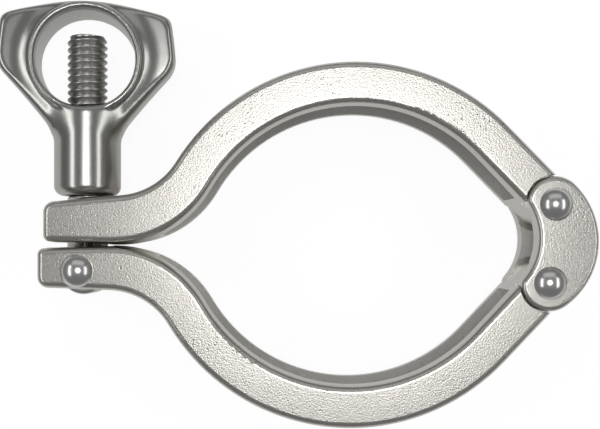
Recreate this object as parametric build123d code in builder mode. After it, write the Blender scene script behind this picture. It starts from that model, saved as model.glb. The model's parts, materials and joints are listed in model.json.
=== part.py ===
import os
from math import atan2, cos, degrees, radians, sin, sqrt, tan

from build123d import *

# ---- Ferrule the clamp is made for (2.5 inch sanitary line) ----
tube_outside_diameter = 63.5
flange_outside_diameter = 77.5
tube_clearance = 0.55
flange_clearance = 0.35

# ---- Arm castings ----
clamp_thickness = 18.6
wall_behind_groove = 1.9
casting_draft = 2.2
outer_edge_round = 1.3
groove_flank_angle = 20.0
groove_mouth_width = 11.6
arm_gap = 0.75
ear_height = 8.1
ear_reach = 60.4
upper_ear_top_slope = 5.2
lower_ear_top_slope = 2.2
ear_face_slope = 1.4
ear_top_corner_round = 2.4
ear_face_corner_round = 1.5
inner_bend_radius = 22.0
outer_bend_radius = 13.5
lower_arm_shift = -1.1
arm_centre_x = -0.2
arm_face_height = 5.85
strut_inset = 4.1
groove_overcut = 3.0
ear_groove_heading = 176.0
pin_eye_wall = 1.7

# ---- Hinge link ----
hinge_x = 37.25
hinge_y = 0.2
pin_spacing = 15.05
link_tilt = 4.2
link_end_radius = 5.45
link_belly = 8.95
link_waist = 2.65
link_waist_radius = 12.0
link_waist_corner_round = 2.0
link_groove_depth = 4.2
link_groove_half_mouth = 5.1
tongue_slot_heading = 118.0
link_proud = 0.5
link_edge_round = 1.0
tongue_thickness = 11.4
side_clearance = 0.15
swing_clearance = 0.35

# ---- Rivets ----
rivet_diameter = 5.0
rivet_head_diameter = 6.3
rivet_head_height = 2.0
rivet_head_rim = 0.35
running_clearance = 0.05

# ---- Swing bolt, 5/16-18 UNC ----
thread_diameter = 7.9375
bolt_setback = 6.8
ear_pin_y = -5.0
bolt_length = 46.6
bolt_tip_chamfer = 0.9
eye_radius = 4.7
eye_width = 8.3
eye_edge_round = 0.8
slot_width = 8.8
slot_end_clearance = 0.6
slot_corner_round = 1.0
eye_clearance = 0.9

# ---- Wing nut ----
nut_turn = 7.0
nut_rest_gap = 0.3
barrel_diameter = 13.1
barrel_foot_round = 1.9
barrel_height = 19.0
nut_height = 38.4
hole_diameter = 19.2
hole_height = 26.8
bead_radius = 0.8
ring_depth = 11.6
ring_width = 1.9
shoulder_round = 2.4
wing_thickness = 6.4
wing_half_span = 17.8
wing_corner_inset = 1.3
wing_corner_round = 2.0
wing_edge_round = 1.4
wing_shoulder_drop = 2.6
wing_elbow_height = 26.0
wing_side_height = 1.8
neck_height = 13.4
neck_inset = 0.45
bead_seat = 0.7

os.makedirs("parts", exist_ok=True)

# ---- Sizes that follow ----
lip_radius = tube_outside_diameter / 2 + tube_clearance
groove_radius = flange_outside_diameter / 2 + flange_clearance
rim_radius = groove_radius + wall_behind_groove
groove_depth = groove_radius - lip_radius
groove_floor_width = groove_mouth_width - 2 * groove_depth * tan(radians(groove_flank_angle))
half_thickness = clamp_thickness / 2
link_half_thickness = half_thickness + link_proud
arm_path_radius = lip_radius + strut_inset
upper_centre = Vector(arm_centre_x, arm_gap / 2 - arm_face_height)
lower_centre = Vector(arm_centre_x + lower_arm_shift, arm_face_height - arm_gap / 2)

# pins stand on a short line tilted by link_tilt, midway between the arms
link_middle = Vector(hinge_x, hinge_y)
pin_step = Vector(sin(radians(link_tilt)), cos(radians(link_tilt))) * (pin_spacing / 2)
upper_pin = link_middle + pin_step
lower_pin = link_middle - pin_step


def bend_points(ring_radius, bend_radius, ear_corner, slope):
    """Where a bend leaves a straight ear edge, and where it runs into the ring."""
    along = Vector(cos(radians(slope)), sin(radians(slope)))
    across = Vector(-along.Y, along.X)
    rise = ear_corner.dot(across) + bend_radius
    reach = sqrt((ring_radius + bend_radius) ** 2 - rise**2)
    centre = across * rise - along * reach
    return centre - across * bend_radius, centre * (ring_radius / (ring_radius + bend_radius))


def strut_points(pin, ring_radius, offset):
    """Where a straight run along the pin's tangent leaves the ring, and where it ends."""
    pin_reach = pin.length
    tangent_length = sqrt(pin_reach**2 - arm_path_radius**2)
    turn = atan2(pin.Y, pin.X) + atan2(tangent_length, arm_path_radius)
    outward = Vector(cos(turn), sin(turn))
    return outward * ring_radius, pin + outward * offset


def arm_outline(pin, ear_top_slope):
    """Flat outline of an arm, seen with its ring centre at the origin and its ear above."""
    face_corner = Vector(-ear_reach, arm_face_height)
    top_corner = Vector(-ear_reach, arm_face_height + ear_height)
    face_bend, lip_start = bend_points(lip_radius, inner_bend_radius, face_corner, -ear_face_slope)
    top_bend, rim_start = bend_points(rim_radius, outer_bend_radius, top_corner, ear_top_slope)
    lip_end, eye_inside = strut_points(pin, lip_radius, lip_radius - arm_path_radius)
    rim_end, eye_outside = strut_points(pin, rim_radius, rim_radius - arm_path_radius)
    with BuildSketch() as outline:
        with BuildLine():
            face = Line(face_corner, face_bend)
            inner_bend = TangentArc(face @ 1, lip_start, tangent=face % 1)
            lip = TangentArc(inner_bend @ 1, lip_end, tangent=inner_bend % 1)
            inside = Line(lip @ 1, eye_inside)
            eye = TangentArc(inside @ 1, eye_outside, tangent=inside % 1)
            outside = Line(eye @ 1, rim_end)
            rim = TangentArc(outside @ 1, rim_start, tangent=outside % 1)
            outer_bend = TangentArc(rim @ 1, top_bend, tangent=rim % 1)
            top = Line(outer_bend @ 1, top_corner)
            Line(top @ 1, face_corner)
        make_face()
        fillet(outline.vertices().group_by(Axis.X)[0].sort_by(Axis.Y)[0], radius=ear_face_corner_round)
        fillet(outline.vertices().group_by(Axis.X)[0].sort_by(Axis.Y)[-1], radius=ear_top_corner_round)
    return outline.sketch


def turned_over(point):
    """The same point seen from the other side of the clamp's long axis."""
    return Vector(point.X, -point.Y)


def heading(point):
    """Direction of a point from the origin, in degrees."""
    return degrees(atan2(point.Y, point.X))


bore_radius = rivet_diameter / 2 + running_clearance
tongue_half = tongue_thickness / 2
tongue_radius = rim_radius - arm_path_radius
pocket_radius = link_end_radius + swing_clearance
bolt_x = bolt_setback - ear_reach
ear_pin = Vector(bolt_x, ear_pin_y)
ear_slot_end = bolt_x + slot_width / 2 + slot_end_clearance
eye_slot_end = bolt_x + eye_radius + eye_clearance
slot_half_length = ear_slot_end + ear_reach + ear_height
ear_cut_height = 3 * (arm_face_height + ear_height)


def section_plane(centre, turn):
    """Upright plane through a vertical axis at centre, its x direction turned from +X."""
    outward = Vector(cos(radians(turn)), sin(radians(turn)))
    return Plane(origin=centre, x_dir=outward, z_dir=(outward.Y, -outward.X, 0))


def groove_profile():
    """Half section of the V groove that takes the ferrule's flanges."""
    inner_radius = lip_radius - groove_overcut
    half_mouth = groove_floor_width / 2 + (groove_radius - inner_radius) * tan(radians(groove_flank_angle))
    with BuildSketch() as profile:
        with BuildLine():
            Polyline(
                (inner_radius, half_mouth),
                (groove_radius, groove_floor_width / 2),
                (groove_radius, -groove_floor_width / 2),
                (inner_radius, -half_mouth),
                close=True,
            )
        make_face()
    return profile.sketch


def arm_casting(centre, pin, outline, groove_from, groove_to):
    """Both drafted halves of an arm, with the ferrule groove and the tongue for the link."""
    with BuildPart() as arm:
        with BuildSketch(Plane(origin=centre)):
            add(outline)
        extrude(amount=half_thickness, dir=(0, 0, 1))
        draft(arm.faces().filter_by(Axis.Z, reverse=True), neutral_plane=Plane.XY, angle=casting_draft)
        fillet(arm.faces().sort_by(Axis.Z)[-1].edges(), radius=outer_edge_round)
        mirror(about=Plane.XY)
        # V groove round the ring, running out through the face of the ear
        with BuildSketch(section_plane(centre, groove_from)):
            add(groove_profile())
        revolve(axis=Axis(centre, (0, 0, 1)), revolution_arc=groove_to - groove_from, mode=Mode.SUBTRACT)
        # steps down to the tongue that the link's cheeks cover
        with BuildSketch(Plane(origin=pin).offset(tongue_half)):
            Circle(pocket_radius)
        extrude(amount=half_thickness, mode=Mode.SUBTRACT)
        with BuildSketch(Plane(origin=pin).offset(-tongue_half)):
            Circle(pocket_radius)
        extrude(amount=-half_thickness, mode=Mode.SUBTRACT)
        with BuildSketch(Plane(origin=pin)):
            Circle(bore_radius)
        extrude(amount=tongue_thickness, both=True, mode=Mode.SUBTRACT)
    return arm.part


upper_local_pin = upper_pin - upper_centre
lower_local_pin = turned_over(lower_pin - lower_centre)
upper_outline = arm_outline(upper_local_pin, upper_ear_top_slope)
lower_outline = mirror(arm_outline(lower_local_pin, lower_ear_top_slope), about=Plane.XZ)
upper_wall_turn = degrees((bore_radius + pin_eye_wall) / upper_local_pin.length)
lower_wall_turn = degrees((bore_radius + pin_eye_wall) / lower_local_pin.length)
upper_groove_start = heading(upper_local_pin) + upper_wall_turn
lower_groove_start = heading(lower_local_pin) + lower_wall_turn

# ---- Upper arm: half ring, strut to the link and slotted ear in one casting ----
with BuildPart() as upper_arm:
    add(arm_casting(upper_centre, upper_pin, upper_outline, upper_groove_start, ear_groove_heading))
    # slot the bolt swings into, open at the ear's end
    with BuildSketch(Plane.XZ.offset(-ear_cut_height)):
        with Locations((ear_slot_end - slot_half_length, 0)):
            SlotOverall(2 * slot_half_length, slot_width)
    extrude(amount=ear_cut_height, mode=Mode.SUBTRACT)
upper_arm.part.label = "upper_arm"
export_step(upper_arm.part, "parts/upper_arm.step")

# ---- Lower arm: the same casting turned over, its slot carrying the bolt's eye ----
with BuildPart() as lower_arm:
    add(arm_casting(lower_centre, lower_pin, lower_outline, -ear_groove_heading, -lower_groove_start))
    with BuildSketch(Plane.XZ):
        with Locations((eye_slot_end - slot_half_length, 0)):
            RectangleRounded(2 * slot_half_length, slot_width, slot_corner_round)
    extrude(amount=ear_cut_height, mode=Mode.SUBTRACT)
    with BuildSketch(Plane(origin=ear_pin)):
        Circle(rivet_diameter / 2)
    extrude(amount=clamp_thickness, both=True, mode=Mode.SUBTRACT)
lower_arm.part.label = "lower_arm"
export_step(lower_arm.part, "parts/lower_arm.step")

# ---- Hinge link: bean-shaped casting with two cheeks over each arm's tongue ----
link_heading = (cos(radians(link_tilt)), -sin(radians(link_tilt)), 0)
link_plane = Plane(origin=link_middle, x_dir=link_heading, z_dir=(0, 0, 1))
pin_half = pin_spacing / 2
belly_rise = link_belly - link_end_radius
belly_turn = atan2(2 * pin_half * belly_rise, pin_half**2 - belly_rise**2)
belly_touch = Vector(link_end_radius * cos(belly_turn), pin_half + link_end_radius * sin(belly_turn))
waist_centre = -link_waist - link_waist_radius
waist_middle = link_middle + link_plane.x_dir * waist_centre
slot_half = tongue_half + side_clearance
slot_radius = tongue_radius + swing_clearance
flank_lean = tan(radians(groove_flank_angle))
link_floor_half = link_groove_half_mouth - link_groove_depth * flank_lean
link_over_half = link_groove_half_mouth + groove_overcut * flank_lean
link_groove_radius = link_waist_radius + link_groove_depth

# a corner round lies inside the end's circle and touches the waist's circle from outside
corner_from_end = link_end_radius - link_waist_corner_round
corner_from_waist = link_waist_radius + link_waist_corner_round
end_to_waist = Vector(waist_centre, -pin_half)
spread = end_to_waist.length
along_spread = (corner_from_end**2 - corner_from_waist**2 + spread**2) / (2 * spread)
beside_spread = sqrt(corner_from_end**2 - along_spread**2)
spread_way = end_to_waist.normalized()
inward_way = Vector(spread_way.Y, -spread_way.X)
corner_centre = Vector(0, pin_half) + spread_way * along_spread + inward_way * beside_spread
end_touch = corner_centre + (corner_centre - Vector(0, pin_half)).normalized() * link_waist_corner_round
waist_touch = corner_centre + (Vector(waist_centre, 0) - corner_centre).normalized() * link_waist_corner_round

with BuildPart() as link:
    with BuildSketch(link_plane):
        with BuildLine():
            belly = ThreePointArc(belly_touch, (link_belly, 0), turned_over(belly_touch))
            lower_end = TangentArc(belly @ 1, turned_over(end_touch), tangent=belly % 1)
            lower_corner = TangentArc(lower_end @ 1, turned_over(waist_touch), tangent=lower_end % 1)
            waist = TangentArc(lower_corner @ 1, waist_touch, tangent=lower_corner % 1)
            upper_corner = TangentArc(waist @ 1, end_touch, tangent=waist % 1)
            TangentArc(upper_corner @ 1, belly_touch, tangent=upper_corner % 1)
        make_face()
    extrude(amount=link_half_thickness)
    fillet(link.faces().sort_by(Axis.Z)[-1].edges(), radius=link_edge_round)
    mirror(about=Plane.XY)
    # V groove across the waist, and a slot through each end for an arm's tongue
    with BuildSketch(section_plane(waist_middle, -link_tilt)):
        with BuildLine():
            Polyline(
                (link_waist_radius - groove_overcut, link_over_half),
                (link_groove_radius, link_floor_half),
                (link_groove_radius, -link_floor_half),
                (link_waist_radius - groove_overcut, -link_over_half),
                close=True,
            )
        make_face()
    revolve(axis=Axis(waist_middle, (0, 0, 1)), mode=Mode.SUBTRACT)
    for pin, opening in ((pin_half, tongue_slot_heading), (-pin_half, -tongue_slot_heading)):
        with BuildSketch(link_plane):
            with Locations((0, pin)):
                Circle(slot_radius)
                with Locations(Location((0, 0), opening)):
                    Rectangle(3 * slot_radius, 2 * slot_radius, align=(Align.MIN, Align.CENTER))
        extrude(amount=slot_half, both=True, mode=Mode.SUBTRACT)
    with BuildSketch(link_plane):
        with Locations((0, pin_half), (0, -pin_half)):
            Circle(rivet_diameter / 2)
    extrude(amount=clamp_thickness, both=True, mode=Mode.SUBTRACT)
link.part.label = "link"
export_step(link.part, "parts/link.step")


def rivet_profile(grip):
    """Half outline of a rivet with a domed head at the end of its half grip."""
    shank = rivet_diameter / 2
    head = rivet_head_diameter / 2
    dome_height = rivet_head_height - rivet_head_rim
    dome_radius = (head**2 + dome_height**2) / (2 * dome_height)
    dome_centre = grip + rivet_head_height - dome_radius
    half_turn = atan2(head, grip + rivet_head_rim - dome_centre) / 2
    dome_middle = (dome_radius * sin(half_turn), dome_centre + dome_radius * cos(half_turn))
    with BuildSketch() as profile:
        with BuildLine():
            side = Polyline(
                (0, 0),
                (shank, 0),
                (shank, grip),
                (head, grip),
                (head, grip + rivet_head_rim),
            )
            dome = ThreePointArc(side @ 1, dome_middle, (0, grip + rivet_head_height))
            Line(dome @ 1, side @ 0)
        make_face()
    return profile.sketch


# ---- Rivets: two fixed in the link, one fixed in the lower ear ----
with BuildPart() as link_rivet_upper:
    with BuildSketch(section_plane(upper_pin, 0)):
        add(rivet_profile(link_half_thickness))
    revolve(axis=Axis(upper_pin, (0, 0, 1)))
    mirror(about=Plane.XY)
link_rivet_upper.part.label = "link_rivet_upper"
export_step(link_rivet_upper.part, "parts/link_rivet_upper.step")

with BuildPart() as link_rivet_lower:
    with BuildSketch(section_plane(lower_pin, 0)):
        add(rivet_profile(link_half_thickness))
    revolve(axis=Axis(lower_pin, (0, 0, 1)))
    mirror(about=Plane.XY)
link_rivet_lower.part.label = "link_rivet_lower"
export_step(link_rivet_lower.part, "parts/link_rivet_lower.step")

with BuildPart() as ear_rivet:
    with BuildSketch(section_plane(ear_pin, 0)):
        add(rivet_profile(half_thickness))
    revolve(axis=Axis(ear_pin, (0, 0, 1)))
    mirror(about=Plane.XY)
ear_rivet.part.label = "ear_rivet"
export_step(ear_rivet.part, "parts/ear_rivet.step")

# ---- Swing bolt: eye on the ear rivet, shank the size of its thread ----
with BuildPart() as swing_bolt:
    with BuildSketch(Plane(origin=ear_pin)):
        Circle(eye_radius)
    extrude(amount=eye_width / 2, both=True)
    fillet(swing_bolt.edges().filter_by(GeomType.CIRCLE), radius=eye_edge_round)
    with BuildSketch(Plane(origin=ear_pin, x_dir=(1, 0, 0), z_dir=(0, 1, 0))):
        Circle(thread_diameter / 2)
    extrude(amount=bolt_length)
    chamfer(swing_bolt.edges().sort_by(Axis.Y)[-1], length=bolt_tip_chamfer)
    with BuildSketch(Plane(origin=ear_pin)):
        Circle(bore_radius)
    extrude(amount=eye_width, both=True, mode=Mode.SUBTRACT)
swing_bolt.part.label = "swing_bolt"
export_step(swing_bolt.part, "parts/swing_bolt.step")

# ---- Wing nut: round barrel opening into flat wings round a beaded hole ----
foot_radius = barrel_diameter / 2 - barrel_foot_round
ear_top_under_foot = (
    upper_centre.Y
    + arm_face_height
    + ear_height
    + (bolt_x + foot_radius - upper_centre.X + ear_reach) * tan(radians(upper_ear_top_slope))
)
nut_plane = Plane(
    origin=(bolt_x, ear_top_under_foot + nut_rest_gap, 0),
    x_dir=(cos(radians(nut_turn)), 0, -sin(radians(nut_turn))),
    z_dir=(sin(radians(nut_turn)), 0, cos(radians(nut_turn))),
)
barrel_plane = Plane(origin=nut_plane.origin, x_dir=nut_plane.x_dir, z_dir=(0, 1, 0))
hole_plane = Plane(nut_plane.location * Pos(0, hole_height, 0))
hole_section = Plane(origin=hole_plane.origin, x_dir=hole_plane.x_dir, z_dir=-hole_plane.y_dir)
bead_centre = hole_diameter / 2 + bead_radius * bead_seat
boss_radius = hole_diameter / 2 + ring_width
wing_corner_x = wing_half_span - wing_corner_inset
wing_corner_y = nut_height - wing_shoulder_drop
wing_side_y = wing_elbow_height + wing_side_height
through = Axis(nut_plane.origin, nut_plane.z_dir)

with BuildPart() as wing_nut:
    with BuildSketch(nut_plane) as wings:
        with BuildLine():
            crown = ThreePointArc(
                (wing_corner_x, wing_corner_y),
                (0, nut_height),
                (-wing_corner_x, wing_corner_y),
            )
            Polyline(
                crown @ 1,
                (-wing_half_span, wing_side_y),
                (-wing_half_span, wing_elbow_height),
                (-barrel_diameter / 2, neck_height),
                (barrel_diameter / 2, neck_height),
                (wing_half_span, wing_elbow_height),
                (wing_half_span, wing_side_y),
                crown @ 0,
            )
        make_face()
    extrude(amount=wing_thickness / 2, both=True)
    upright = wing_nut.edges().filter_by(through)
    elbow_y = nut_plane.origin.Y + wing_elbow_height
    fillet(upright.filter_by_position(Axis.Y, elbow_y, elbow_y + nut_height), radius=wing_corner_round)
    fillet(wing_nut.faces().filter_by(through).edges(), radius=wing_edge_round)
    # proud shoulder that runs from the hole's boss down to the barrel
    with BuildSketch(nut_plane):
        with Locations((0, hole_height)):
            Circle(boss_radius)
        with Locations((0, neck_height)):
            Rectangle(barrel_diameter - 2 * neck_inset, 1)
        make_hull()
    extrude(amount=ring_depth / 2, both=True)
    fillet(wing_nut.faces().filter_by(through).sort_by(through)[-1].edges(), radius=shoulder_round)
    fillet(wing_nut.faces().filter_by(through).sort_by(through)[0].edges(), radius=shoulder_round)
    with BuildSketch(barrel_plane):
        Circle(barrel_diameter / 2)
    extrude(amount=barrel_height)
    foot = wing_nut.faces().sort_by(Axis.Y)[0]
    fillet(foot.edges(), radius=barrel_foot_round)
    # rounded bead that stands up round both mouths of the hole
    with BuildSketch(hole_section):
        with Locations((bead_centre, ring_depth / 2), (bead_centre, -ring_depth / 2)):
            Circle(bead_radius)
    revolve(axis=Axis(hole_plane.origin, hole_plane.z_dir))
    with BuildSketch(hole_plane):
        Circle(hole_diameter / 2)
    extrude(amount=ring_depth, both=True, mode=Mode.SUBTRACT)
    # threaded bore, modelled at the thread's outside diameter
    with BuildSketch(barrel_plane):
        Circle(thread_diameter / 2 + running_clearance)
    extrude(amount=hole_height, mode=Mode.SUBTRACT)
wing_nut.part.label = "wing_nut"
export_step(wing_nut.part, "parts/wing_nut.step")
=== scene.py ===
"""Looks of the hinged ferrule clamp.

Finishes, thread on the swing bolt, softened wing nut casting, floor, lamps and camera.
"""

import json
from math import cos, hypot, pi, radians, sin

import bpy
import numpy as np
from mathutils import Matrix, Vector


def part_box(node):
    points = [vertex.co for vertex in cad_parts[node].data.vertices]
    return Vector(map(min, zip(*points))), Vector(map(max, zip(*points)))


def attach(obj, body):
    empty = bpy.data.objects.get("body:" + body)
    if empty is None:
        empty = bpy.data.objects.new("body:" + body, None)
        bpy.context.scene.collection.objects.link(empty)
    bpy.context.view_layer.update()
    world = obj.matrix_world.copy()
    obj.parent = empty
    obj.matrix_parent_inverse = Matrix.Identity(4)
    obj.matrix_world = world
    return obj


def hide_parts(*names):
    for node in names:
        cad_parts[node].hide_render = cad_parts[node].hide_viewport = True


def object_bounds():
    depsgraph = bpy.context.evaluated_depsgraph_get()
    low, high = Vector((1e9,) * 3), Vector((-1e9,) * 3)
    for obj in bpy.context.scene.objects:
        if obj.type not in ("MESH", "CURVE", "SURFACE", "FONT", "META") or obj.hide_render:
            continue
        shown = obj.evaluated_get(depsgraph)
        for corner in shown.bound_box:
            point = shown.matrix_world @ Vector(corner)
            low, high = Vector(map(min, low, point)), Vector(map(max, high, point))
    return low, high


bl_info = {
    "name": "Hinged Ferrule Clamp",
    "version": (1, 0, 0),
    "blender": (4, 5, 0),
    "location": "View3D > Sidebar > Clamp",
    "description": "Finishes and details for a double-pin hinged ferrule clamp",
    "category": "Object",
}

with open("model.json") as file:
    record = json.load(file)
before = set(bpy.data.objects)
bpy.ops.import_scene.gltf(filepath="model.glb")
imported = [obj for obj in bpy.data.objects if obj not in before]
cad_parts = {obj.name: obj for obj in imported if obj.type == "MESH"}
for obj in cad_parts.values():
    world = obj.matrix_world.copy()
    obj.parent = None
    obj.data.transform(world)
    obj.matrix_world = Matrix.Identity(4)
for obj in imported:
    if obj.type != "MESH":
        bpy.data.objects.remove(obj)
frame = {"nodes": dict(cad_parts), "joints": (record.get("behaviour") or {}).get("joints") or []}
CAD_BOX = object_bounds()
MM = 0.001
JOINTS = {joint["name"]: joint for joint in frame["joints"]}

# grain of each casting, as inputs of the Cast Grain group
BLASTED_GRAIN = {"Pebble Scale": 3100.0, "Pit Scale": 1150.0, "Pit Amount": 0.9}
SATIN_GRAIN = {"Pebble Scale": 420.0, "Pit Scale": 500.0, "Pit Amount": 0.25}
RIVET_ROUGHNESS = 0.24
THREAD_ROUGHNESS = 0.32

# wings of the nut, in mm over its foot and out from its axis
CROWN_CENTRE = -15.26
CROWN_RADIUS = 53.66
WING_REACH = 17.8
WING_FOOT = 13.4
SIDE_HEIGHT, SIDE_RUN, SIDE_LENGTH = 27.8, (8.0, 1.3), 8.105
SLOPE_HEIGHT, SLOPE_RUN, SLOPE_LENGTH = 26.0, (12.6, 11.25), 16.89
CORNER_ROUND = 1.8
TIP_ROUND = 1.2
WING_EDGE = 1.4
CROWN_EDGE = 0.8

# shoulders, barrel and rim of the nut, in mm
NECK_RADIUS = 4.6
NECK_HEIGHT = 14.6
RIM_WIDTH = 0.6
SHOULDER_HALF_THICKNESS = 4.7
SHOULDER_EDGE = 2.4
SHOULDER_TAPER = 0.09
SHOULDER_BLEND = 2.4
BARREL_HALF_HEIGHT = 9.5
BARREL_EDGE = 1.9
BEAD_BLEND = 0.5
HOLE_EDGE = 1.0

# how the rough nut's points are drawn onto its form, in mm
DRAW_ROUNDS = 12
DRAW_NUDGE = 0.01
DRAW_LIMIT = 0.5
LEAST_STEEPNESS = 0.25

WELD = 0.002 * MM
TIP_SLOPE = 0.62

LAMP_TARGET = Vector((0.018, 0.022, 0))
# name, distance, elevation, azimuth, width, length, watts
LAMPS = (
    ("overhead_light", 0.55, 90, 0, 0.22, 0.22, 0.54),
    ("left_light", 0.60, 44, 180, 0.10, 0.50, 0.42),
    ("right_light", 0.60, 44, 0, 0.10, 0.50, 0.42),
    ("back_light", 0.70, 42, 90, 0.85, 0.35, 0.36),
)
FLOOR_SEEN = 0.80
FLOOR_MIRRORED = 0.30
FLOOR_GLOW = 1.14
CAMERA_SHIFT = (-5 / 600, 34.5 / 600)


# ---- Places read from the frame ----


def bolt_pivot():
    """Point on the ear rivet's axis, half way through the clamp."""
    return Vector(JOINTS["bolt_swing"]["pos_m"])


# ---- Settings ----


class ClampFinishSettings(bpy.types.PropertyGroup):
    cast_colour: bpy.props.FloatVectorProperty(
        name="Cast Colour",
        description="Colour of the blasted castings",
        subtype="COLOR",
        size=3,
        min=0.0,
        max=1.0,
        default=(0.655, 0.635, 0.59),
    )
    satin_colour: bpy.props.FloatVectorProperty(
        name="Satin Colour",
        description="Colour of the wing nut's polished casting",
        subtype="COLOR",
        size=3,
        min=0.0,
        max=1.0,
        default=(0.47, 0.465, 0.44),
    )
    rivet_colour: bpy.props.FloatVectorProperty(
        name="Rivet Colour",
        description="Colour of the polished rivet heads",
        subtype="COLOR",
        size=3,
        min=0.0,
        max=1.0,
        default=(0.76, 0.75, 0.73),
    )
    thread_colour: bpy.props.FloatVectorProperty(
        name="Thread Colour",
        description="Colour of the bolt's rolled thread",
        subtype="COLOR",
        size=3,
        min=0.0,
        max=1.0,
        default=(0.58, 0.57, 0.55),
    )
    cast_roughness: bpy.props.FloatProperty(
        name="Cast Roughness",
        description="Roughness of the blasted castings",
        min=0.0,
        max=1.0,
        default=0.28,
    )
    satin_roughness: bpy.props.FloatProperty(
        name="Satin Roughness",
        description="Roughness of the wing nut",
        min=0.0,
        max=1.0,
        default=0.24,
    )


class ClampThreadSettings(bpy.types.PropertyGroup):
    major_diameter: bpy.props.FloatProperty(
        name="Thread Diameter",
        description="Outside diameter of the bolt's thread",
        unit="LENGTH",
        default=7.85 * MM,
    )
    pitch: bpy.props.FloatProperty(
        name="Pitch",
        description="Distance between two turns of the thread",
        unit="LENGTH",
        default=25.4 / 18 * MM,
    )
    depth: bpy.props.FloatProperty(
        name="Thread Depth",
        description="Depth of the thread's groove",
        unit="LENGTH",
        default=0.58 * MM,
    )
    plain_length: bpy.props.FloatProperty(
        name="Plain Shank",
        description="Length from the eye's axis to where the thread begins",
        unit="LENGTH",
        default=8.5 * MM,
    )
    tip_length: bpy.props.FloatProperty(
        name="Tip Length",
        description="Length of the tapered tip",
        unit="LENGTH",
        default=1.5 * MM,
    )
    steps: bpy.props.IntProperty(
        name="Steps a Turn",
        description="Faces round one turn of the thread",
        min=12,
        max=96,
        default=40,
    )


class ClampNutSettings(bpy.types.PropertyGroup):
    turn: bpy.props.FloatProperty(
        name="Turn",
        description="How far the nut stands turned on the bolt",
        subtype="ANGLE",
        default=radians(7),
    )
    hole_radius: bpy.props.FloatProperty(
        name="Hole Radius",
        description="Radius of the grip hole",
        unit="LENGTH",
        default=9.6 * MM,
    )
    hole_height: bpy.props.FloatProperty(
        name="Hole Height",
        description="Height of the grip hole's centre over the nut's foot",
        unit="LENGTH",
        default=26.8 * MM,
    )
    barrel_radius: bpy.props.FloatProperty(
        name="Barrel Radius",
        description="Outside radius of the barrel",
        unit="LENGTH",
        default=6.55 * MM,
    )
    bore_radius: bpy.props.FloatProperty(
        name="Bore Radius",
        description="Radius of the threaded bore",
        unit="LENGTH",
        default=4.02 * MM,
    )
    wing_half_thickness: bpy.props.FloatProperty(
        name="Half Wing Thickness",
        description="Half the thickness of the flat wings",
        unit="LENGTH",
        default=3.5 * MM,
    )
    blend: bpy.props.FloatProperty(
        name="Blend",
        description="Width of the blends between wings, shoulders and barrel",
        unit="LENGTH",
        default=2.0 * MM,
    )
    bead_radius: bpy.props.FloatProperty(
        name="Bead Radius",
        description="Radius of the round bead at the hole's mouths",
        unit="LENGTH",
        default=0.85 * MM,
    )
    bead_rise: bpy.props.FloatProperty(
        name="Bead Rise",
        description="Distance of a bead's centre from the nut's middle plane",
        unit="LENGTH",
        default=5.0 * MM,
    )
    voxel: bpy.props.FloatProperty(
        name="Voxel",
        description="Grain of the mesh that softens the nut's casting",
        unit="LENGTH",
        default=0.34 * MM,
    )


class ClampStageSettings(bpy.types.PropertyGroup):
    floor_size: bpy.props.FloatProperty(
        name="Floor Size",
        description="Width of the floor",
        unit="LENGTH",
        default=40.0,
    )
    camera_height: bpy.props.FloatProperty(
        name="Camera Height",
        description="Height of the camera over the clamp's middle",
        unit="LENGTH",
        default=0.190,
    )
    lens: bpy.props.FloatProperty(
        name="Lens",
        description="Focal length",
        subtype="DISTANCE_CAMERA",
        default=56.8,
    )


# ---- Node helpers ----


def new_material(name):
    """New material with a Principled shader, with its tree and shader."""
    material = bpy.data.materials.new(name)
    material.use_nodes = True
    tree = material.node_tree
    shader = tree.nodes["Principled BSDF"]
    return material, tree, shader


def add_node(tree, kind, x, y, **values):
    """New node at a place, with its properties set by name."""
    node = tree.nodes.new(kind)
    node.location = (x, y)
    for key, value in values.items():
        setattr(node, key, value)
    return node


def set_inputs(node, values):
    """Sets a node's unlinked inputs by name."""
    for name, value in values.items():
        node.inputs[name].default_value = value


def math_node(tree, operation, x, y, first, second):
    """Math node whose inputs are numbers or sockets."""
    node = add_node(tree, "ShaderNodeMath", x, y, operation=operation)
    for socket, value in zip(node.inputs, (first, second)):
        if isinstance(value, (int, float)):
            socket.default_value = value
        else:
            tree.links.new(value, socket)
    return node.outputs["Value"]


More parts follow.
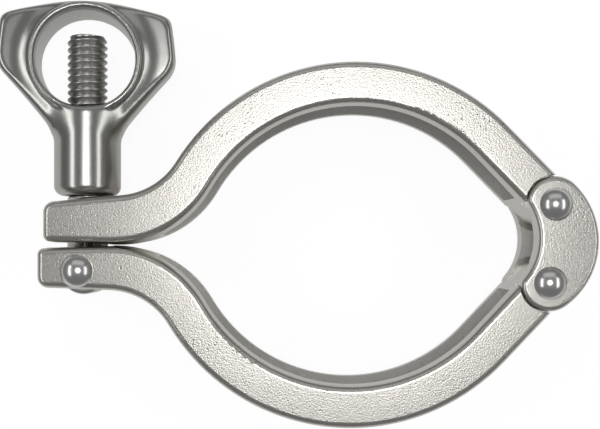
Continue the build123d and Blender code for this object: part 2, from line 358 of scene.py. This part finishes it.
def build_cast_grain():
    """Node group for a blasted casting's skin: its height, its pits and a slow cloud."""
    group = bpy.data.node_groups.new("Cast Grain", "ShaderNodeTree")
    new_socket = group.interface.new_socket
    for name, default in SATIN_GRAIN.items():
        socket = new_socket(name=name, in_out="INPUT", socket_type="NodeSocketFloat")
        socket.default_value = default
    for name in ("Height", "Pits", "Cloud"):
        new_socket(name=name, in_out="OUTPUT", socket_type="NodeSocketFloat")
    inputs = add_node(group, "NodeGroupInput", -900, 0)
    outputs = add_node(group, "NodeGroupOutput", 700, 0)
    place = add_node(group, "ShaderNodeTexCoord", -900, 300)
    pebbles = add_node(group, "ShaderNodeTexNoise", -500, 300)
    set_inputs(pebbles, {"Detail": 3.0, "Roughness": 0.55})
    holes = add_node(group, "ShaderNodeTexVoronoi", -500, 0)
    set_inputs(holes, {"Randomness": 1.0})
    scatter = add_node(group, "ShaderNodeTexNoise", -500, -300)
    set_inputs(scatter, {"Scale": 160.0, "Detail": 2.0})
    cloud = add_node(group, "ShaderNodeTexNoise", -500, -600)
    set_inputs(cloud, {"Scale": 70.0, "Detail": 4.0})
    for texture in (pebbles, holes, scatter, cloud):
        group.links.new(place.outputs["Object"], texture.inputs["Vector"])
    group.links.new(inputs.outputs["Pebble Scale"], pebbles.inputs["Scale"])
    group.links.new(inputs.outputs["Pit Scale"], holes.inputs["Scale"])
    # a pit shows where a cell's centre is near and the scatter is high
    dot = add_node(group, "ShaderNodeMapRange", -250, 0)
    set_inputs(dot, {"From Min": 0.08, "From Max": 0.26, "To Min": 1.0, "To Max": 0.0})
    group.links.new(holes.outputs["Distance"], dot.inputs["Value"])
    where = add_node(group, "ShaderNodeMapRange", -250, -300)
    set_inputs(where, {"From Min": 0.44, "From Max": 0.68})
    group.links.new(scatter.outputs["Fac"], where.inputs["Value"])
    pits = math_node(group, "MULTIPLY", 0, -100, dot.outputs["Result"], where.outputs["Result"])
    pits = math_node(group, "MULTIPLY", 150, -100, pits, inputs.outputs["Pit Amount"])
    height = math_node(group, "SUBTRACT", 300, 150, pebbles.outputs["Fac"], pits)
    group.links.new(height, outputs.inputs["Height"])
    group.links.new(pits, outputs.inputs["Pits"])
    group.links.new(cloud.outputs["Fac"], outputs.inputs["Cloud"])
    return group


def place_grain(tree, group, values):
    """The grain group placed in a material with its own values."""
    grain = add_node(tree, "ShaderNodeGroup", -700, 0, node_tree=group)
    set_inputs(grain, values)
    return grain


def tinted(tree, factor, dark, light):
    """Colour that runs from dark to light with a factor."""
    mix = add_node(tree, "ShaderNodeMix", -450, 250, data_type="RGBA")
    mix.inputs["A"].default_value = (*dark, 1.0)
    mix.inputs["B"].default_value = (*light, 1.0)
    tree.links.new(factor, mix.inputs["Factor"])
    return mix.outputs["Result"]


def bumped(tree, shader, height, strength, distance):
    """Feeds a height to the shader's normal."""
    bump = add_node(tree, "ShaderNodeBump", -250, -350)
    set_inputs(bump, {"Strength": strength, "Distance": distance})
    tree.links.new(height, bump.inputs["Height"])
    tree.links.new(bump.outputs["Normal"], shader.inputs["Normal"])


def cast_steel(group, settings):
    """Blasted, tumbled stainless casting."""
    material, tree, shader = new_material("cast_steel_blasted")
    colour = Vector(settings.cast_colour)
    grain = place_grain(tree, group, BLASTED_GRAIN)
    tint = tinted(tree, grain.outputs["Cloud"], colour * 0.90, colour * 1.08)
    # pits are darker than the skin round them: painted shade inside the pits
    pit_painted_shade = add_node(tree, "ShaderNodeMix", -250, 250, data_type="RGBA")
    pit_painted_shade.inputs["B"].default_value = (*(colour * 0.34), 1.0)
    tree.links.new(grain.outputs["Pits"], pit_painted_shade.inputs["Factor"])
    tree.links.new(tint, pit_painted_shade.inputs["A"])
    tree.links.new(pit_painted_shade.outputs["Result"], shader.inputs["Base Color"])
    set_inputs(shader, {"Metallic": 1.0, "Roughness": settings.cast_roughness})
    bumped(tree, shader, grain.outputs["Height"], 0.40, 0.08 * MM)
    return material


def satin_steel(group, settings):
    """Satin polished casting, with only a faint unevenness left."""
    material, tree, shader = new_material("satin_steel_nut")
    colour = Vector(settings.satin_colour)
    grain = place_grain(tree, group, SATIN_GRAIN)
    tint = tinted(tree, grain.outputs["Cloud"], colour * 0.93, colour * 1.06)
    tree.links.new(tint, shader.inputs["Base Color"])
    set_inputs(shader, {"Metallic": 1.0, "Roughness": settings.satin_roughness})
    bumped(tree, shader, grain.outputs["Height"], 0.10, 0.10 * MM)
    return material


def plain_steel(name, colour, roughness):
    """Smooth steel of one colour."""
    material, _, shader = new_material(name)
    values = {"Base Color": (*colour, 1.0), "Metallic": 1.0, "Roughness": roughness}
    set_inputs(shader, values)
    return material


def coat(thing, material):
    """Gives a piece one material all over."""
    thing.data.materials.clear()
    thing.data.materials.append(material)


# ---- Modelling helpers ----


def select_only(thing):
    """Makes one object the selected and active one."""
    bpy.ops.object.select_all(action="DESELECT")
    thing.hide_viewport = False
    thing.select_set(True)
    bpy.context.view_layer.objects.active = thing


def merged_copy(node, name):
    """Own copy of a CAD node's mesh, its loose triangles merged into one skin."""
    source = frame["nodes"][node]
    piece = source.copy()
    piece.data = source.data.copy()
    piece.name = name
    piece.data.name = name
    for key in list(piece.keys()):
        del piece[key]
    piece.parent = None
    piece.matrix_world = Matrix.Identity(4)
    bpy.context.collection.objects.link(piece)
    select_only(piece)
    bpy.ops.object.mode_set(mode="EDIT")
    bpy.ops.mesh.select_all(action="SELECT")
    bpy.ops.mesh.remove_doubles(threshold=WELD)
    bpy.ops.object.mode_set(mode="OBJECT")
    return piece


def apply_modifier(thing, kind, **values):
    """Adds a modifier, sets it and applies it."""
    modifier = thing.modifiers.new(kind.title(), kind)
    for key, value in values.items():
        setattr(modifier, key, value)
    select_only(thing)
    bpy.ops.object.modifier_apply(modifier=modifier.name)


def settle(thing):
    """Puts a piece's place and turn into its mesh, so its object sits at the origin."""
    select_only(thing)
    bpy.ops.object.transform_apply(location=True, rotation=True, scale=True)


def smooth(thing, sharp_angle):
    """Smooth shading, kept sharp over an angle in degrees."""
    select_only(thing)
    bpy.ops.object.shade_smooth_by_angle(angle=radians(sharp_angle))


def cut_by_plane(thing, point, normal, keep_inner, fill):
    """Cuts a piece by a plane and clears the side that isn't kept."""
    select_only(thing)
    bpy.ops.object.mode_set(mode="EDIT")
    bpy.ops.mesh.select_all(action="SELECT")
    bpy.ops.mesh.bisect(
        plane_co=point,
        plane_no=normal,
        use_fill=fill,
        clear_inner=not keep_inner,
        clear_outer=keep_inner,
    )
    bpy.ops.object.mode_set(mode="OBJECT")


def blend(first, second, width):
    """Union of two distances, with a fillet of a given width between them."""
    share = np.clip(0.5 + 0.5 * (second - first) / width, 0, 1)
    return second * (1 - share) + first * share - width * share * (1 - share)


def trim(first, second, width):
    """Intersection of two distances, with the edge between them rounded."""
    return -blend(-first, -second, width)


def slab(outline, thickness_from_middle, half_thickness, edge_round):
    """Plate of an outline's distance, with rounded edges."""
    across = outline + edge_round
    through = thickness_from_middle - half_thickness + edge_round
    outside = np.hypot(np.maximum(across, 0), np.maximum(through, 0))
    return np.minimum(np.maximum(across, through), 0) + outside - edge_round


def crown_distance(u, v):
    """Distance to the wide arc over the top of the wings, in mm."""
    return np.hypot(u, v - CROWN_CENTRE) - CROWN_RADIUS


def wing_outline(u, v):
    """Distance to the wings' flat outline, in mm.

    The top is crowned, the sides are short, and straight slopes lead to the neck.
    """
    out = np.abs(u) - WING_REACH
    side = (out * SIDE_RUN[0] + (v - SIDE_HEIGHT) * SIDE_RUN[1]) / SIDE_LENGTH
    slope = (out * SLOPE_RUN[0] - (v - SLOPE_HEIGHT) * SLOPE_RUN[1]) / SLOPE_LENGTH
    edges = trim(trim(crown_distance(u, v), side, CORNER_ROUND), out, TIP_ROUND)
    return np.maximum(trim(edges, slope, CORNER_ROUND), WING_FOOT - v)


def shoulder_outline(u, v, low_radius, high_radius, low_y, high_y):
    """Distance to the outline stretched round two circles, one above the other, in mm."""
    u, v, rise = np.abs(u), v - low_y, high_y - low_y
    lean = (low_radius - high_radius) / rise
    upright = np.sqrt(1 - lean**2)
    along = -lean * u + upright * v
    straight = upright * u + lean * v - low_radius
    low, high = np.hypot(u, v) - low_radius, np.hypot(u, v - rise) - high_radius
    return np.where(along < 0, low, np.where(along > upright * rise, high, straight))


def nut_form(points, settings):
    """Distance from points in the nut's own frame to its casting's surface, in mm."""
    u, v, w = points[:, 0], points[:, 1], np.abs(points[:, 2])
    hole_height = settings.hole_height / MM
    hole_radius = settings.hole_radius / MM
    from_hole = np.hypot(u, v - hole_height)
    from_axis = np.hypot(u, w)
    wings = slab(wing_outline(u, v), w, settings.wing_half_thickness / MM, WING_EDGE)
    outline = shoulder_outline(
        u, v, NECK_RADIUS, hole_radius + RIM_WIDTH, NECK_HEIGHT, hole_height
    )
    waist = SHOULDER_TAPER * np.maximum(hole_height - v, 0)
    shoulder = slab(outline, w + waist, SHOULDER_HALF_THICKNESS, SHOULDER_EDGE)
    barrel = slab(
        from_axis - settings.barrel_radius / MM,
        np.abs(v - BARREL_HALF_HEIGHT),
        BARREL_HALF_HEIGHT,
        BARREL_EDGE,
    )
    bead_ring = np.hypot(from_hole - hole_radius - RIM_WIDTH, w - settings.bead_rise / MM)
    body = blend(wings, shoulder, SHOULDER_BLEND * settings.blend / MM)
    body = blend(body, barrel, settings.blend / MM)
    body = blend(body, bead_ring - settings.bead_radius / MM, BEAD_BLEND)
    body = trim(body, crown_distance(u, v), CROWN_EDGE)
    body = trim(body, hole_radius - from_hole, HOLE_EDGE)
    # the bore ends in the hole and doesn't reach the wings' crown
    bore = np.minimum(settings.bore_radius / MM - from_axis, hole_height - v)
    return np.maximum(body, bore)


def draw_onto_form(nut, settings):
    """Draws every point of a rough nut onto the smooth casting's surface."""
    foot = (bolt_pivot().x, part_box("wing_nut")[0].y, 0)
    place = Matrix.Translation(foot) @ Matrix.Rotation(settings.turn, 4, "Y")
    nut.data.transform(place.inverted())
    count = len(nut.data.vertices)
    points = np.empty(count * 3)
    nut.data.vertices.foreach_get("co", points)
    points = points.reshape(count, 3) / MM
    for _ in range(DRAW_ROUNDS):
        distance = nut_form(points, settings)
        slope = np.empty_like(points)
        for axis in range(3):
            step = np.zeros(3)
            step[axis] = DRAW_NUDGE
            rise = nut_form(points + step, settings) - nut_form(points - step, settings)
            slope[:, axis] = rise / (2 * DRAW_NUDGE)
        steepness = np.maximum((slope**2).sum(axis=1), LEAST_STEEPNESS)
        shift = np.clip(distance / steepness, -DRAW_LIMIT, DRAW_LIMIT)
        points -= slope * shift[:, None]
    nut.data.vertices.foreach_set("co", (points * MM).ravel())
    nut.data.transform(place)
    nut.data.update()


# ---- Operators ----


class CLAMP_OT_finishes(bpy.types.Operator):
    """Build the steels and give them to the castings and rivets"""

    bl_idname = "clamp.finishes"
    bl_label = "Clamp Finishes"

    def execute(self, context):
        settings = context.scene.clamp_finish
        grain = build_cast_grain()
        cast = cast_steel(grain, settings)
        satin = satin_steel(grain, settings)
        rivet = plain_steel("polished_rivet_steel", settings.rivet_colour, RIVET_ROUGHNESS)
        thread = plain_steel("rolled_thread_steel", settings.thread_colour, THREAD_ROUGHNESS)
        for node in ("upper_arm", "lower_arm", "link"):
            coat(frame["nodes"][node], cast)
        for node in ("link_rivet_upper", "link_rivet_lower", "ear_rivet"):
            coat(frame["nodes"][node], rivet)
        coat(frame["nodes"]["swing_bolt"], thread)
        coat(frame["nodes"]["wing_nut"], satin)
        return {"FINISHED"}


class CLAMP_OT_wing_nut(bpy.types.Operator):
    """Soften the wing nut's casting"""

    bl_idname = "clamp.wing_nut"
    bl_label = "Wing Nut"

    def execute(self, context):
        settings = context.scene.clamp_nut
        nut = merged_copy("wing_nut", "wing_nut_casting")
        for _ in range(2):
            apply_modifier(
                nut,
                "REMESH",
                mode="VOXEL",
                voxel_size=settings.voxel,
                use_smooth_shade=True,
            )
            draw_onto_form(nut, settings)
        coat(nut, bpy.data.materials["satin_steel_nut"])
        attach(nut, "nut")
        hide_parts("wing_nut")
        return {"FINISHED"}


class CLAMP_OT_swing_bolt(bpy.types.Operator):
    """Cut the thread on the swing bolt"""

    bl_idname = "clamp.swing_bolt"
    bl_label = "Swing Bolt"

    def execute(self, context):
        settings = context.scene.clamp_thread
        pivot = bolt_pivot()
        tip_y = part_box("swing_bolt")[1].y
        radius = settings.major_diameter / 2
        root = radius - settings.depth
        start = pivot.y + settings.plain_length
        turns = int((tip_y - start) / settings.pitch) + 3
        eye = merged_copy("swing_bolt", "swing_bolt_forging")
        cut_by_plane(eye, (0, start, 0), (0, 1, 0), True, False)
        # a tooth's outline, drawn as an edge strip in the plane of the axis
        bpy.ops.object.select_all(action="DESELECT")
        bpy.ops.mesh.primitive_plane_add(size=settings.pitch, location=(0, 0, 0))
        rod = context.object
        rod.name = "swing_bolt_thread"
        bpy.ops.object.mode_set(mode="EDIT")
        bpy.ops.mesh.select_all(action="SELECT")
        bpy.ops.mesh.delete(type="ONLY_FACE")
        bpy.ops.object.mode_set(mode="OBJECT")
        keep_edge_strip(rod, thread_tooth(root, radius), settings.pitch)
        apply_modifier(
            rod,
            "SCREW",
            axis="Z",
            screw_offset=settings.pitch,
            iterations=turns,
            steps=settings.steps,
            render_steps=settings.steps,
            use_merge_vertices=True,
            merge_threshold=0.005 * MM,
            use_smooth_shade=True,
        )
        rod.rotation_euler = (-pi / 2, 0, 0)
        rod.location = (pivot.x, start - settings.pitch, 0)
        settle(rod)
        cut_by_plane(rod, (0, tip_y, 0), (0, 1, 0), True, True)
        cut_by_plane(rod, (0, start - 0.2 * MM, 0), (0, 1, 0), False, True)
        taper_tip(rod, pivot.x, tip_y, settings.tip_length, root)
        bpy.ops.object.select_all(action="DESELECT")
        eye.select_set(True)
        rod.select_set(True)
        context.view_layer.objects.active = eye
        bpy.ops.object.join()
        smooth(eye, 50)
        coat(eye, bpy.data.materials["rolled_thread_steel"])
        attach(eye, "bolt")
        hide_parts("swing_bolt")
        return {"FINISHED"}


def thread_tooth(root, radius):
    """Half-rounded outline of one tooth: share of the pitch, and distance from the axis."""
    depth = radius - root
    return (
        (0.0, root),
        (0.08, root + 0.05 * depth),
        (0.34, root + 0.82 * depth),
        (0.44, radius),
        (0.56, radius),
        (0.66, root + 0.82 * depth),
        (0.92, root + 0.05 * depth),
        (1.0, root),
    )


def keep_edge_strip(rod, outline, pitch):
    """Turns a square of four edges into the open strip of a tooth, upright beside the axis."""
    select_only(rod)
    bpy.ops.object.mode_set(mode="EDIT")
    bpy.ops.mesh.select_all(action="DESELECT")
    bpy.ops.object.mode_set(mode="OBJECT")
    edges = rod.data.edges
    edges[0].select = True
    for vertex in edges[0].vertices:
        rod.data.vertices[vertex].select = True
    bpy.ops.object.mode_set(mode="EDIT")
    bpy.ops.mesh.select_all(action="INVERT")
    bpy.ops.mesh.delete(type="EDGE")
    bpy.ops.mesh.select_all(action="SELECT")
    bpy.ops.mesh.subdivide(number_cuts=len(outline) - 2)
    bpy.ops.object.mode_set(mode="OBJECT")
    order = strip_order(rod.data)
    for vertex, (height, radius) in zip(order, outline):
        rod.data.vertices[vertex].co = (radius, 0, height * pitch)


def strip_order(mesh):
    """Vertices of an open strip of edges, from one end to the other."""
    links = {vertex.index: [] for vertex in mesh.vertices}
    for edge in mesh.edges:
        first, second = edge.vertices
        links[first].append(second)
        links[second].append(first)
    here = min(index for index, near in links.items() if len(near) == 1)
    order = [here]
    while len(order) < len(links):
        here = next(index for index in links[here] if index not in order)
        order.append(here)
    return order


def taper_tip(rod, axis_x, tip_y, length, root):
    """Draws the last turns of the thread in to a tapered tip."""
    for vertex in rod.data.vertices:
        ahead = vertex.co.y - (tip_y - length)
        if ahead <= 0:
            continue
        across = hypot(vertex.co.x - axis_x, vertex.co.z)
        limit = root + (length - ahead) * TIP_SLOPE
        if across > limit:
            vertex.co.x = axis_x + (vertex.co.x - axis_x) * limit / across
            vertex.co.z *= limit / across


class CLAMP_OT_stage(bpy.types.Operator):
    """Lay the floor, hang the lights and set the camera"""

    bl_idname = "clamp.stage"
    bl_label = "Stage"

    def execute(self, context):
        settings = context.scene.clamp_stage
        build_floor(settings.floor_size, CAD_BOX[0].z)
        build_world()
        for name, *values in LAMPS:
            softbox(name, LAMP_TARGET, *values)
        place_camera(settings)
        context.scene.view_settings.view_transform = "Standard"
        return {"FINISHED"}


def build_floor(size, height):
    """White floor that keeps the clamp's shadow.

    Its glow is seen by the camera, and more weakly by what mirrors it.
    """
    bpy.ops.object.select_all(action="DESELECT")
    bpy.ops.mesh.primitive_plane_add(size=size, location=(0, 0, height))
    floor = bpy.context.object
    floor.name = "floor"
    settle(floor)
    material, tree, shader = new_material("white_floor")
    values = {"Base Color": (0.9, 0.9, 0.9, 1.0), "Roughness": 0.9, "Specular IOR Level": 0.0}
    set_inputs(shader, values)
    path = add_node(tree, "ShaderNodeLightPath", -700, 300)
    glossy, through = path.outputs["Is Glossy Ray"], path.outputs["Is Transmission Ray"]
    mirrored = math_node(tree, "MAXIMUM", -500, 200, glossy, through)
    mirrored = math_node(tree, "MULTIPLY", -350, 200, mirrored, FLOOR_MIRRORED)
    seen = math_node(tree, "MULTIPLY", -350, 400, path.outputs["Is Camera Ray"], FLOOR_SEEN)
    share = math_node(tree, "MAXIMUM", -200, 300, seen, mirrored)
    glow = add_node(tree, "ShaderNodeEmission", 100, -200)
    set_inputs(glow, {"Strength": FLOOR_GLOW})
    mix = add_node(tree, "ShaderNodeMixShader", 350, 100)
    tree.links.new(share, mix.inputs["Fac"])
    tree.links.new(shader.outputs["BSDF"], mix.inputs[1])
    tree.links.new(glow.outputs["Emission"], mix.inputs[2])
    tree.links.new(mix.outputs["Shader"], tree.nodes["Material Output"].inputs["Surface"])
    coat(floor, material)


def build_world():
    """Dim, even room."""
    world = bpy.data.worlds.new("grey_room")
    world.use_nodes = True
    background = world.node_tree.nodes["Background"]
    set_inputs(background, {"Color": (0.75, 0.76, 0.78, 1.0), "Strength": 0.24})
    bpy.context.scene.world = world


def softbox(name, target, distance, elevation, azimuth, width, length, strength):
    """Area light that faces a target from a direction, round where its sides are equal."""
    up, turn = radians(elevation), radians(azimuth)
    offset = Vector((cos(up) * cos(turn), cos(up) * sin(turn), sin(up))) * distance
    bpy.ops.object.light_add(type="AREA", location=target + offset)
    lamp = bpy.context.object
    lamp.name = name
    lamp.data.shape = "DISK" if width == length else "RECTANGLE"
    lamp.data.size = width
    lamp.data.size_y = length
    lamp.data.energy = strength
    facing = offset.normalized()
    side = Vector((0, 1, 0)).cross(facing).normalized()
    lamp.rotation_euler = Matrix((side, facing.cross(side), facing)).transposed().to_euler()


def place_camera(settings):
    """Camera looking straight down on the clamp from close by."""
    data = bpy.data.cameras.new("clamp_camera")
    data.lens = settings.lens
    data.sensor_width = 36
    data.shift_x, data.shift_y = CAMERA_SHIFT
    data.clip_start = 0.01
    data.clip_end = 10
    camera = bpy.data.objects.new("clamp_camera", data)
    bpy.context.collection.objects.link(camera)
    camera.location = (-10 * MM, -0.8 * MM, settings.camera_height)
    bpy.context.scene.camera = camera


class CLAMP_PT_panel(bpy.types.Panel):
    """Lists the clamp's settings and steps"""

    bl_idname = "CLAMP_PT_panel"
    bl_label = "Hinged Ferrule Clamp"
    bl_space_type = "VIEW_3D"
    bl_region_type = "UI"
    bl_category = "Clamp"

    def draw(self, context):
        layout = self.layout
        scene = context.scene
        for group in (scene.clamp_finish, scene.clamp_thread, scene.clamp_nut, scene.clamp_stage):
            box = layout.box()
            for name in group.bl_rna.properties.keys():
                if name not in ("rna_type", "name"):
                    box.prop(group, name)
        for operator in OPERATORS:
            layout.operator(operator.bl_idname)


SETTINGS = {
    "clamp_finish": ClampFinishSettings,
    "clamp_thread": ClampThreadSettings,
    "clamp_nut": ClampNutSettings,
    "clamp_stage": ClampStageSettings,
}
OPERATORS = (CLAMP_OT_finishes, CLAMP_OT_wing_nut, CLAMP_OT_swing_bolt, CLAMP_OT_stage)


def register():
    for name, settings in SETTINGS.items():
        bpy.utils.register_class(settings)
        setattr(bpy.types.Scene, name, bpy.props.PointerProperty(type=settings))
    for operator in OPERATORS:
        bpy.utils.register_class(operator)
    bpy.utils.register_class(CLAMP_PT_panel)


def unregister():
    bpy.utils.unregister_class(CLAMP_PT_panel)
    for operator in reversed(OPERATORS):
        bpy.utils.unregister_class(operator)
    for name, settings in reversed(SETTINGS.items()):
        delattr(bpy.types.Scene, name)
        bpy.utils.unregister_class(settings)


def main():
    register()
    bpy.ops.clamp.finishes()
    bpy.ops.clamp.wing_nut()
    bpy.ops.clamp.swing_bolt()
    bpy.ops.clamp.stage()


if __name__ == "__main__":
    main()
